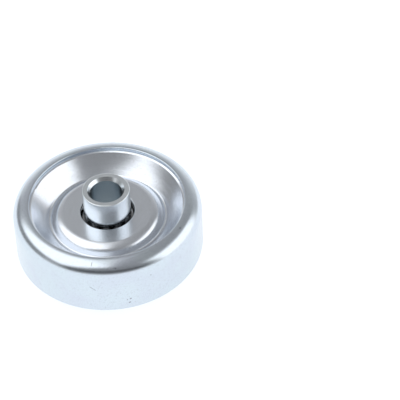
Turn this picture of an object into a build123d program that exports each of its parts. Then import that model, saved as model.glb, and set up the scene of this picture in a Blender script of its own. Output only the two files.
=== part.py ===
from build123d import *
from math import atan2, copysign, cos, dist, pi, radians, sin, tan
import os

# Conveyor skate wheel: two pressed steel shells closed round a full-complement ball
# bearing, whose inner race is turned on the hub. Millimetres. The hub's axis is Z and the
# origin is its middle. Side A, which has the lip rolled over, faces +Z.

# Sheet: both shells are pressed from it
sheet = 1.0
sharpest_bend = 0.05          # inside radius of a bend that has no room for more
largest_share = 0.9           # of a side of a section that one bend may take

# Tread, and the tread shell's mouth, which is rolled over the side shell
tread_diameter = 48.0
rim_height_a = 8.05           # from the middle plane to the top of the lip
lip_bend_radius = 3.7         # outside of the rolled bend
lip_flat_width = 0.6          # flat top of the lip, inside the bend
lip_edge_radius = 0.25

# Side A: dish, flange and skirt of the side shell
dish_curve_a = 0.035          # depth of the dish's curve below a straight cone, over its run
dish_radius_a = 30.0
dish_corner_radius_a = 0.6
floor_width_a = 0.5           # flat floor between the boss's foot and the dish
flange_bend_radius = 0.8      # outside of the bend, just under the lip's edge
flange_overlap = 0.25         # from the lip's edge to the corner of that bend
nest_clearance = 0.03         # the skirt inside the tread shell, on the radius
skirt_depth = 6.0             # from the underside of the lip down to the skirt's edge

# Side B: rim and dish of the tread shell
rim_height_b = 7.6            # from the middle plane to the rim
rim_width_b = 2.7             # from the tread to the corner of rim and dish
rim_bend_radius = 1.6
dish_curve_b = 0.035
dish_radius_b = 30.0
dish_corner_radius_b = 1.5
floor_width_b = 1.75

# Boss in the middle of each dish: it holds the outer race
floor_height = 2.45           # from the middle plane to the floor of the dish
flare_slope = 56.0            # degrees between the boss's side and the floor
boss_shoulder_radius = 3.0
foot_radius = 0.5
hub_gap = 0.9                 # between the hub and the edge of the punched hole
hole_edge_radius = 0.2

# Hub: a turned tube with a raised ball track round its middle
hub_length = 24.0
hub_diameter = 12.0
hub_edge_radius = 0.2
bore_diameter = 8.1
mouth_chamfer_width = 0.65
mouth_chamfer_depth = 0.87
track_depth = 0.65            # from the top of the track down to the bottom of its groove
track_width = 5.4
track_chamfer = 0.3

# Balls and outer race
ball_diameter = 6.35
ball_count = 9
ball_gap = 0.045              # between neighbouring balls
ball_start_angle = 24.0
race_clearance = 0.02         # between a ball and each race, on the radius
groove_ratio = 0.52           # groove radius over ball diameter
race_wall = 0.95              # outer race, outside the bottom of its groove
race_margin = 0.125           # outer race beyond the balls, at each end
race_edge_width = 4.2         # the straight edge between the outer race's two cones
race_land = 1.0               # end of the outer race, from its bore to the corner of its cone
race_corner_radius = 1.0      # rounded corner, clear of the bend of the boss's shoulder
race_headroom = 0.45          # between the outer race's end and the boss's underside

# Bearing, worked out from the middle of the balls
ball_radius = ball_diameter / 2
pitch_radius = (ball_diameter + ball_gap) / (2 * sin(radians(180 / ball_count)))
groove_radius = groove_ratio * ball_diameter
inner_groove_bottom = pitch_radius - ball_radius - race_clearance
outer_groove_bottom = pitch_radius + ball_radius + race_clearance
track_radius = inner_groove_bottom + track_depth
race_radius = outer_groove_bottom + race_wall
race_half_width = ball_radius + race_margin
race_half_edge = race_edge_width / 2
race_cone_run = (race_half_width - race_half_edge) / tan(radians(flare_slope))
race_end_radius = race_radius - race_cone_run

# Boss: its underside is the seat that the outer race's cone bears on
boss_height = race_half_width + race_headroom + sheet
flare_point = (
    race_radius + sheet * sin(radians(flare_slope)),
    race_half_edge + sheet * cos(radians(flare_slope)),
)
foot_position = flare_point[0] + (flare_point[1] - floor_height) / tan(radians(flare_slope))
boss_corner = foot_position - (boss_height - floor_height) / tan(radians(flare_slope))
boss_points = [
    (hub_diameter / 2 + hub_gap, boss_height),
    (boss_corner, boss_height),
    (foot_position, floor_height),
]
boss_radii = [boss_shoulder_radius, foot_radius]


def dish_points(floor_edge, top_corner, curve):
    """Corners of a dish: its floor's edge, the middle of its curve, and its top"""
    run = top_corner[0] - floor_edge[0]
    rise = top_corner[1] - floor_edge[1]
    length = dist(floor_edge, top_corner)
    hollow = curve * run
    middle = (
        (floor_edge[0] + top_corner[0]) / 2 + hollow * rise / length,
        (floor_edge[1] + top_corner[1]) / 2 - hollow * run / length,
    )
    return [floor_edge, middle, top_corner]


def headings_of(points):
    """Direction of each side of an outline, in radians"""
    return [atan2(b[1] - a[1], b[0] - a[0]) for a, b in zip(points, points[1:])]


def turns_of(points):
    """Angle that an outline turns to the left at each corner, in radians"""
    headings = headings_of(points)
    return [(b - a + pi) % (2 * pi) - pi for a, b in zip(headings, headings[1:])]


def fitted_bends(points, radii, thickness):
    """Radii of the bends, from the last corner back, each within the room it has"""
    turns = turns_of(points)
    reaches = [tan(abs(turn) / 2) for turn in turns]
    sharpest = [sharpest_bend + max(thickness * copysign(1, turn), 0) for turn in turns]
    bends = []
    taken = 0
    for corner in range(len(radii) - 1, -1, -1):
        kept = sharpest[corner - 1] * reaches[corner - 1] if corner else 0
        side_in = dist(points[corner], points[corner + 1])
        side_out = dist(points[corner + 1], points[corner + 2])
        room = min(side_out - taken, (side_in - kept) * largest_share)
        bend = min(radii[corner], room / reaches[corner])
        taken = max(bend, sharpest[corner]) * reaches[corner]
        bends.insert(0, bend)
    return bends


def draw_sheet(points, radii, thickness):
    """Draws a sheet's two faces and its ends: the second face is to the first one's left"""
    bends = fitted_bends(points, radii, thickness)
    turns = turns_of(points)
    headings = headings_of(points)
    far_points = []
    for point, heading, turn in zip(points, headings[:1] + headings, [0] + turns + [0]):
        across = heading + turn / 2 + pi / 2
        reach = thickness / cos(turn / 2)
        far_points.append((point[0] + reach * cos(across), point[1] + reach * sin(across)))
    far_bends = [
        max(bend - thickness * copysign(1, turn), sharpest_bend)
        for bend, turn in zip(bends, turns)
    ]
    FilletPolyline(*points, radius=bends)
    FilletPolyline(*far_points, radius=far_bends)
    Line(points[0], far_points[0])
    Line(points[-1], far_points[-1])


def round_hole_edges(section):
    """Rounds both edges of the punched hole, in the section of a shell"""
    fillet(section.vertices().group_by(Axis.X)[0], radius=hole_edge_radius)


# Side shell: boss and dish of side A, with a flange and a skirt under the lip
tread_radius = tread_diameter / 2
lip_mouth_radius = tread_radius - lip_bend_radius - lip_flat_width
flange_height = rim_height_a - sheet
skirt_radius = tread_radius - sheet - nest_clearance
side_a_points = boss_points + dish_points(
    (foot_position + floor_width_a, floor_height),
    (lip_mouth_radius - flange_overlap, flange_height),
    dish_curve_a,
)
side_shell_points = side_a_points + [
    (skirt_radius, flange_height),
    (skirt_radius, flange_height - skirt_depth),
]
side_shell_radii = boss_radii + [
    dish_corner_radius_a,
    dish_radius_a,
    flange_bend_radius,
    lip_bend_radius - sheet,
]

with BuildPart() as side_shell:
    with BuildSketch(Plane.XZ) as side_shell_section:
        with BuildLine():
            draw_sheet(side_shell_points, side_shell_radii, -sheet)
        make_face()
        round_hole_edges(side_shell_section)
    revolve(axis=Axis.Z)

# Tread shell: boss, dish, rim and tread of side B, then the lip, bent round the skirt's bend
skirt_bend = fitted_bends(side_shell_points, side_shell_radii, -sheet)[-1]
side_b_points = boss_points + dish_points(
    (foot_position + floor_width_b, floor_height),
    (tread_radius - rim_width_b, rim_height_b),
    dish_curve_b,
)
tread_shell_points = [(radius, -height) for radius, height in side_b_points] + [
    (tread_radius, -rim_height_b),
    (tread_radius, rim_height_a),
    (lip_mouth_radius, rim_height_a),
]
tread_shell_radii = boss_radii + [
    dish_corner_radius_b,
    dish_radius_b,
    rim_bend_radius,
    rim_bend_radius,
    skirt_bend + sheet,
]

with BuildPart() as tread_shell:
    with BuildSketch(Plane.XZ) as tread_shell_section:
        with BuildLine():
            draw_sheet(tread_shell_points, tread_shell_radii, sheet)
        make_face()
        round_hole_edges(tread_shell_section)
        top_of_lip = tread_shell_section.vertices().group_by(Axis.Y)[-1]
        fillet(top_of_lip.sort_by(Axis.X)[0], radius=lip_edge_radius)
    revolve(axis=Axis.Z)

# Outer race: a ring whose two cones bear on the seats inside the bosses
race_outline = [
    (race_end_radius - race_land, -race_half_width),
    (race_end_radius, -race_half_width),
    (race_radius, -race_half_edge),
    (race_radius, race_half_edge),
    (race_end_radius, race_half_width),
    (race_end_radius - race_land, race_half_width),
]

with BuildPart() as outer_race:
    with BuildSketch(Plane.XZ) as race_section:
        with BuildLine():
            Polyline(*race_outline, close=True)
        make_face()
        for end in (0, -1):
            end_corners = race_section.vertices().group_by(Axis.Y)[end]
            fillet(end_corners.sort_by(Axis.X)[-1], radius=race_corner_radius)
        with Locations((outer_groove_bottom - groove_radius, 0)):
            Circle(groove_radius, mode=Mode.SUBTRACT)
    revolve(axis=Axis.Z)

# Hub: the fixed tube that the axle passes through, with the inner race on it
hub_end = hub_length / 2
bore_radius = bore_diameter / 2
hub_outline = [
    (bore_radius, mouth_chamfer_depth - hub_end),
    (bore_radius + mouth_chamfer_width, -hub_end),
    (hub_diameter / 2, -hub_end),
    (hub_diameter / 2, hub_end),
    (bore_radius + mouth_chamfer_width, hub_end),
    (bore_radius, hub_end - mouth_chamfer_depth),
]

with BuildPart() as hub:
    with BuildSketch(Plane.XZ) as hub_section:
        with BuildLine():
            Polyline(*hub_outline, close=True)
        make_face()
        for end in (0, -1):
            end_corners = hub_section.vertices().group_by(Axis.Y)[end]
            fillet(end_corners.sort_by(Axis.X)[-1], radius=hub_edge_radius)
        with BuildSketch(Plane.XZ, mode=Mode.PRIVATE) as track_section:
            with Locations(((bore_radius + track_radius) / 2, 0)):
                Rectangle(track_radius - bore_radius, track_width)
            chamfer(track_section.vertices().group_by(Axis.X)[-1], length=track_chamfer)
        add(track_section.sketch_local)
        with Locations((inner_groove_bottom + groove_radius, 0)):
            Circle(groove_radius, mode=Mode.SUBTRACT)
    revolve(axis=Axis.Z)

pieces = {
    "hub": hub,
    "outer_race": outer_race,
    "tread_shell": tread_shell,
    "side_shell": side_shell,
}

# Balls: each is a piece of its own, in the ring between the two races
for number in range(ball_count):
    angle = radians(ball_start_angle + number * 360 / ball_count)
    with BuildPart() as ball:
        with Locations((pitch_radius * cos(angle), pitch_radius * sin(angle), 0)):
            Sphere(ball_radius)
    pieces[f"ball_{number + 1}"] = ball

os.makedirs("parts", exist_ok=True)
for name, piece in pieces.items():
    piece.part.label = name
    export_step(piece.part, f"parts/{name}.step")
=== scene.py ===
from math import radians

import bpy
from mathutils import Matrix, Vector


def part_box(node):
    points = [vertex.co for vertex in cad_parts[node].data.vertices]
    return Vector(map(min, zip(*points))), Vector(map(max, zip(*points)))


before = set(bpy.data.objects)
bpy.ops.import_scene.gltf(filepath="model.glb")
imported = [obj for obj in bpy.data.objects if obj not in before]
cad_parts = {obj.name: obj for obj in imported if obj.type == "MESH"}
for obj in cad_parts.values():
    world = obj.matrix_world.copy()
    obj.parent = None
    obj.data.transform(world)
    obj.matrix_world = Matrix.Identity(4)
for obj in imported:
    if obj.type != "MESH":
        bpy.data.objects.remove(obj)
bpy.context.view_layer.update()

MM = 0.001

# Camera: where the photograph was taken from, measured from the middle of the wheel
CAMERA_PLACE = Vector((23.565, -366.406, 366.617)) * MM
CAMERA_ELEVATION = radians(44.46)
CAMERA_ROLL = radians(-2.19)
SENSOR_WIDTH = 36.0
LENS = 182.58

# Floor: white to the eye, with a soft shadow under the wheel, where its glow is weaker
FLOOR_HALF_WIDTH = 4.0
FLOOR_COLOUR = (0.32, 0.32, 0.33, 1.0)
FLOOR_GLOW = 0.92
FLOOR_GLOW_COLOUR = (0.94, 0.98, 1.0, 1.0)
FLOOR_DARK_RADIUS = 4.0 * MM
FLOOR_BRIGHT_RADIUS = 18.0 * MM
FLOOR_DARKEST = 0.34

# Studio: what the plating mirrors. The sky is (elevation, brightness), and each panel is
# (azimuth, elevation, half width, half height, soft edge, brightness), later ones over
# earlier ones. Angles are in degrees from +X and from the floor
SKY_STOPS = ((-90, 1.0), (-6, 0.97), (6, 0.5), (30, 0.36), (60, 0.33), (90, 0.42))
PANELS = {
    "back wall": (90, -2, 34, 30, 44, 1.08),
    "left low": (161, 15, 32, 11, 10, 0.29),
    "front": (-88, 40, 44, 14, 20, 0.3),
    "dark flag": (-93, 21, 47, 11, 12, 0.1),
    "left softbox": (182, 58, 35, 30, 12, 1.5),
    "right softbox": (-2, 26, 31, 24, 12, 1.5),
}

# Metals: base colours, each clouded with a second one
TREAD_ZINC = (0.665, 0.74, 0.805, 1.0)
TREAD_ZINC_DEEP = (0.65, 0.705, 0.79, 1.0)
DISH_ZINC = (0.755, 0.80, 0.86, 1.0)
DISH_ZINC_DEEP = (0.745, 0.785, 0.85, 1.0)
HUB_ZINC = (0.80, 0.85, 0.89, 1.0)
HUB_ZINC_DEEP = (0.76, 0.82, 0.86, 1.0)
# The race colours are kept dark as painted shade for the gap round the balls
RACE_STEEL = (0.22, 0.23, 0.25, 1.0)
RACE_STEEL_DEEP = (0.15, 0.15, 0.16, 1.0)
BALL_STEEL = (0.55, 0.56, 0.58, 1.0)
BALL_STEEL_DEEP = (0.44, 0.45, 0.47, 1.0)

# Texture of the metals: noise scales per metre, and the noise levels where each one works
GRAIN_SCALE = 1600
GRAIN_RANGE = (0.3, 0.7)
GRAIN_RADIUS = 1.5 * MM       # of the circle that the grain is drawn out along, round the axle
ROUGHNESS_CHANGE = 0.1        # share of the roughness that the grain adds or takes
CLOUD_SCALE = 130
CLOUD_RANGE = (0.35, 0.7)
SPECK_SCALE = 1900
SPECK_RANGE = (0.52, 0.74)
RIPPLE_SCALE = 2200

# Painted shade on the outside of the hub, inside the shells, where the gap round the balls is dark
GAP_SHADE_COLOUR = (0.32, 0.33, 0.34, 1.0)
GAP_SHADE_RADIUS = 5.0 * MM
GAP_SHADE_HEIGHT = 4.3 * MM
SHADE_END_HEIGHT = 4.9 * MM

# Marks of use on the tread shell: (start, end, half width), in millimetres
MARK_COLOUR = (0.16, 0.16, 0.2, 1.0)
MARK_DEPTH = 0.7
MARK_CORE = 0.4               # share of the half width that is at full depth
MARKS = (
    # Scratch across the tread
    ((-4.44, -23.58, 1.65), (-3.07, -23.8, 0.54), 0.1),
    # Specks on the tread
    ((5.56, -23.36, -3.3), (5.34, -23.41, -3.4), 0.24),
    ((5.28, -23.42, -4.55), (5.06, -23.46, -4.68), 0.24),
    ((4.66, -23.54, -3.5), (4.56, -23.56, -3.6), 0.16),
    ((10.7, -21.48, 2.9), (10.8, -21.43, 2.85), 0.16),
    # Specks and a tick on the lip
    ((18.34, -10.6, 7.93), (18.4, -10.54, 7.93), 0.26),
    ((2.14, -22.76, 7.02), (2.22, -22.74, 7.02), 0.2),
    ((-3.52, -21.25, 7.83), (-3.71, -22.02, 7.43), 0.1),
)


def add_node(tree, kind, inputs=None, **settings):
    """Adds a node, with settings by name, and sockets by name or number"""
    node = tree.nodes.new(kind)
    for name, value in settings.items():
        setattr(node, name, value)
    for key, value in (inputs or {}).items():
        if isinstance(value, bpy.types.NodeSocket):
            tree.links.new(value, node.inputs[key])
        else:
            node.inputs[key].default_value = value
    return node


def calculate(tree, operation, *values):
    """A Math node's result"""
    return add_node(tree, "ShaderNodeMath", dict(enumerate(values)), operation=operation).outputs[0]


def combine(tree, operation, *values):
    """A Vector Math node's result, a number where the operation gives one"""
    node = add_node(tree, "ShaderNodeVectorMath", dict(enumerate(values)), operation=operation)
    return node.outputs["Value" if operation in ("LENGTH", "DOT_PRODUCT") else "Vector"]


def scale(tree, vector, factor):
    """A vector times a number"""
    inputs = {0: vector, "Scale": factor}
    return add_node(tree, "ShaderNodeVectorMath", inputs, operation="SCALE").outputs["Vector"]


def map_range(tree, value, source, target):
    """A value carried from one range to another, straight"""
    inputs = {"Value": value, "From Min": source[0], "From Max": source[1]}
    inputs |= {"To Min": target[0], "To Max": target[1]}
    return add_node(tree, "ShaderNodeMapRange", inputs).outputs["Result"]


def soft_step(tree, value, low, high):
    """0 at low, 1 at high, and smooth between them"""
    inputs = {"Value": value, "From Min": low, "From Max": high}
    node = add_node(tree, "ShaderNodeMapRange", inputs, interpolation_type="SMOOTHSTEP")
    return node.outputs["Result"]


def noise(tree, vector, per_metre, detail, roughness=0.5, **fourth):
    """A Noise Texture's level, in four dimensions where W is given"""
    inputs = {"Vector": vector, "Scale": per_metre, "Detail": detail, "Roughness": roughness}
    dimensions = "4D" if fourth else "3D"
    node = add_node(tree, "ShaderNodeTexNoise", inputs | fourth, noise_dimensions=dimensions)
    return node.outputs[0]


def blend(tree, share, first, second):
    """Two colours mixed: the first at 0 and the second at 1"""
    inputs = {0: share, 6: first, 7: second}
    return add_node(tree, "ShaderNodeMix", inputs, data_type="RGBA").outputs[2]


def grey(level):
    """A colour without a tint"""
    return (level, level, level, 1.0)


def object_place(tree):
    """Where a point is in its object's own coordinates, in metres"""
    return add_node(tree, "ShaderNodeTexCoord").outputs["Object"]


def height_of(tree, vector):
    """A vector's Z"""
    return add_node(tree, "ShaderNodeSeparateXYZ", {0: vector}).outputs["Z"]


def empty_tree(owner):
    """The node tree of a new material or world, with nothing in it"""
    owner.use_nodes = True
    owner.node_tree.nodes.clear()
    return owner.node_tree


def seen_directly(tree):
    """1 for what the camera sees, straight or in glossy or clear surfaces, and 0 for light"""
    path = add_node(tree, "ShaderNodeLightPath")
    seen = calculate(tree, "MAXIMUM", path.outputs["Is Camera Ray"], path.outputs["Is Glossy Ray"])
    return calculate(tree, "MAXIMUM", seen, path.outputs["Is Transmission Ray"])


def make_camera():
    """The photograph's view"""
    camera = bpy.data.objects.new("camera", bpy.data.cameras.new("camera"))
    camera.data.sensor_width = SENSOR_WIDTH
    camera.data.lens = LENS
    tilt = Matrix.Rotation(radians(90) - CAMERA_ELEVATION, 4, "X")
    roll = Matrix.Rotation(CAMERA_ROLL, 4, "Z")
    camera.matrix_world = Matrix.Translation(CAMERA_PLACE) @ tilt @ roll
    bpy.context.scene.collection.objects.link(camera)
    bpy.context.scene.camera = camera


def floor_material():
    """Matt, with a glow that only shows it white and lights nothing"""
    material = bpy.data.materials.new("floor")
    tree = empty_tree(material)
    matt = add_node(tree, "ShaderNodeBsdfDiffuse", {"Color": FLOOR_COLOUR})
    radius = combine(tree, "LENGTH", combine(tree, "MULTIPLY", object_place(tree), (1, 1, 0)))
    open_floor = soft_step(tree, radius, FLOOR_DARK_RADIUS, FLOOR_BRIGHT_RADIUS)
    level = map_range(tree, open_floor, (0, 1), (FLOOR_DARKEST * FLOOR_GLOW, FLOOR_GLOW))
    strength = calculate(tree, "MULTIPLY", level, seen_directly(tree))
    glow = add_node(tree, "ShaderNodeEmission", {"Color": FLOOR_GLOW_COLOUR, "Strength": strength})
    both = add_node(tree, "ShaderNodeAddShader", {0: matt.outputs[0], 1: glow.outputs[0]})
    add_node(tree, "ShaderNodeOutputMaterial", {"Surface": both.outputs[0]})
    return material


def make_floor():
    """A wide white floor under the end of the hub"""
    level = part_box("hub")[0].z
    signs = ((-1, -1), (1, -1), (1, 1), (-1, 1))
    corners = [(x * FLOOR_HALF_WIDTH, y * FLOOR_HALF_WIDTH, level) for x, y in signs]
    mesh = bpy.data.meshes.new("floor")
    mesh.from_pydata(corners, [], [(0, 1, 2, 3)])
    mesh.materials.append(floor_material())
    floor = bpy.data.objects.new("floor", mesh)
    bpy.context.scene.collection.objects.link(floor)


def panel_mask(tree, direction, azimuth, elevation, half_width, half_height, softness):
    """1 inside a flat studio panel, and soft at its edges"""
    turn = Matrix.Rotation(radians(azimuth), 3, "Z") @ Matrix.Rotation(radians(-elevation), 3, "Y")
    axes = (tuple(axis) for axis in turn.transposed())
    ahead, aside, above = (combine(tree, "DOT_PRODUCT", direction, axis) for axis in axes)
    inside = 1.0
    for offset, half_angle in ((aside, half_width), (above, half_height)):
        angle = calculate(tree, "ABSOLUTE", calculate(tree, "ARCTAN2", offset, ahead))
        outer, inner = radians(half_angle + softness / 2), radians(half_angle - softness / 2)
        inside = calculate(tree, "MULTIPLY", inside, soft_step(tree, angle, outer, inner))
    return inside


def make_world():
    """A studio with soft panels, the same to the camera as to what the metal mirrors"""
    world = bpy.data.worlds.new("studio")
    tree = empty_tree(world)
    direction = add_node(tree, "ShaderNodeTexCoord").outputs["Generated"]
    elevation = calculate(tree, "ARCSINE", height_of(tree, direction))
    share = map_range(tree, elevation, (radians(-90), radians(90)), (0, 1))
    ramp = add_node(tree, "ShaderNodeValToRGB", {0: share})
    stops = ramp.color_ramp.elements
    while len(stops) < len(SKY_STOPS):
        stops.new(0.5)
    for stop, (angle, level) in zip(stops, SKY_STOPS):
        stop.position = (angle + 90) / 180
        stop.color = grey(level)
    colour = ramp.outputs[0]
    for *panel, level in PANELS.values():
        colour = blend(tree, panel_mask(tree, direction, *panel), colour, grey(level))
    background = add_node(tree, "ShaderNodeBackground", {"Color": colour})
    add_node(tree, "ShaderNodeOutputWorld", {"Surface": background.outputs[0]})
    bpy.context.scene.world = world
    bpy.context.scene.view_settings.view_transform = "Standard"


def near_mark(tree, place, start, end, half_width):
    """1 on a straight mark between two points in millimetres, and soft at its edge"""
    start, end = Vector(start) * MM, Vector(end) * MM
    along = end - start
    offset = combine(tree, "SUBTRACT", place, tuple(start))
    share = combine(tree, "DOT_PRODUCT", offset, tuple(along / along.length_squared))
    share = calculate(tree, "MINIMUM", calculate(tree, "MAXIMUM", share, 0.0), 1.0)
    foot = scale(tree, tuple(along), share)
    distance = combine(tree, "LENGTH", combine(tree, "SUBTRACT", offset, foot))
    return soft_step(tree, distance, half_width * MM, half_width * MARK_CORE * MM)


def metal(name, colours, roughness, grain, ripple, specks=0.0, marks=(), shade_in_gap=False):
    """Metal whose grain runs round the axle

    grain and ripple are depths in millimetres, and specks is how dark the small specks are.
    """
    material = bpy.data.materials.new(name)
    tree = empty_tree(material)
    place = object_place(tree)
    flat = combine(tree, "MULTIPLY", place, (1, 1, 0))
    radius = combine(tree, "LENGTH", flat)
    heading = scale(tree, combine(tree, "NORMALIZE", flat), GRAIN_RADIUS)
    drawn_out = combine(tree, "ADD", heading, combine(tree, "MULTIPLY", place, (0, 0, 1)))
    fine = noise(tree, drawn_out, GRAIN_SCALE, detail=2.0, roughness=0.6, W=radius)

    clouds = noise(tree, place, CLOUD_SCALE, detail=3.0, roughness=0.55)
    tint = blend(tree, soft_step(tree, clouds, *CLOUD_RANGE), *colours)
    if specks:
        dots = noise(tree, place, SPECK_SCALE, detail=2.0, roughness=0.7)
        depth = calculate(tree, "MULTIPLY", soft_step(tree, dots, *SPECK_RANGE), specks)
        tint = blend(tree, depth, tint, MARK_COLOUR)
    for mark in marks:
        depth = calculate(tree, "MULTIPLY", near_mark(tree, place, *mark), MARK_DEPTH)
        tint = blend(tree, depth, tint, MARK_COLOUR)
    # Painted shade: the hub is darker inside the shells, where the gap round the balls lies in
    # shade
    if shade_in_gap:
        height = calculate(tree, "ABSOLUTE", height_of(tree, place))
        inside = soft_step(tree, height, SHADE_END_HEIGHT, GAP_SHADE_HEIGHT)
        outside_bore = calculate(tree, "GREATER_THAN", radius, GAP_SHADE_RADIUS)
        tint = blend(tree, calculate(tree, "MULTIPLY", inside, outside_bore), tint, GAP_SHADE_COLOUR)

    roughness_range = (roughness * (1 - ROUGHNESS_CHANGE), roughness * (1 + ROUGHNESS_CHANGE))
    rough = map_range(tree, fine, GRAIN_RANGE, roughness_range)
    wave = noise(tree, place, RIPPLE_SCALE, detail=2.0)
    rippled = add_node(tree, "ShaderNodeBump", {"Height": wave, "Distance": ripple * MM})
    grained = {"Height": fine, "Distance": grain * MM, "Normal": rippled.outputs[0]}
    bump = add_node(tree, "ShaderNodeBump", grained)
    look = {"Base Color": tint, "Metallic": 1.0, "Roughness": rough, "Normal": bump.outputs[0]}
    shader = add_node(tree, "ShaderNodeBsdfPrincipled", look)
    add_node(tree, "ShaderNodeOutputMaterial", {"Surface": shader.outputs[0]})
    return material


def dress(node, material):
    """Gives a CAD node its material"""
    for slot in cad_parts[node].material_slots:
        slot.material = material


make_camera()
make_floor()
make_world()

finishes = {
    "hub": metal(
        "hub_steel", (HUB_ZINC, HUB_ZINC_DEEP),
        roughness=0.23, grain=0.0003, ripple=0.0006, specks=0.1, shade_in_gap=True,
    ),
    # Painted shade: the race is dark for the shade in the gap round the balls
    "outer_race": metal(
        "race_steel", (RACE_STEEL, RACE_STEEL_DEEP),
        roughness=0.3, grain=0.0003, ripple=0.0003,
    ),
    "tread_shell": metal(
        "tread_zinc", (TREAD_ZINC, TREAD_ZINC_DEEP),
        roughness=0.22, grain=0.0006, ripple=0.0012, specks=0.13, marks=MARKS,
    ),
    "side_shell": metal(
        "dish_zinc", (DISH_ZINC, DISH_ZINC_DEEP),
        roughness=0.23, grain=0.0007, ripple=0.0014, specks=0.12,
    ),
}
ball_finish = metal(
    "ball_steel", (BALL_STEEL, BALL_STEEL_DEEP), roughness=0.05, grain=0.0001, ripple=0.0001
)
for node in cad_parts:
    dress(node, finishes.get(node, ball_finish))
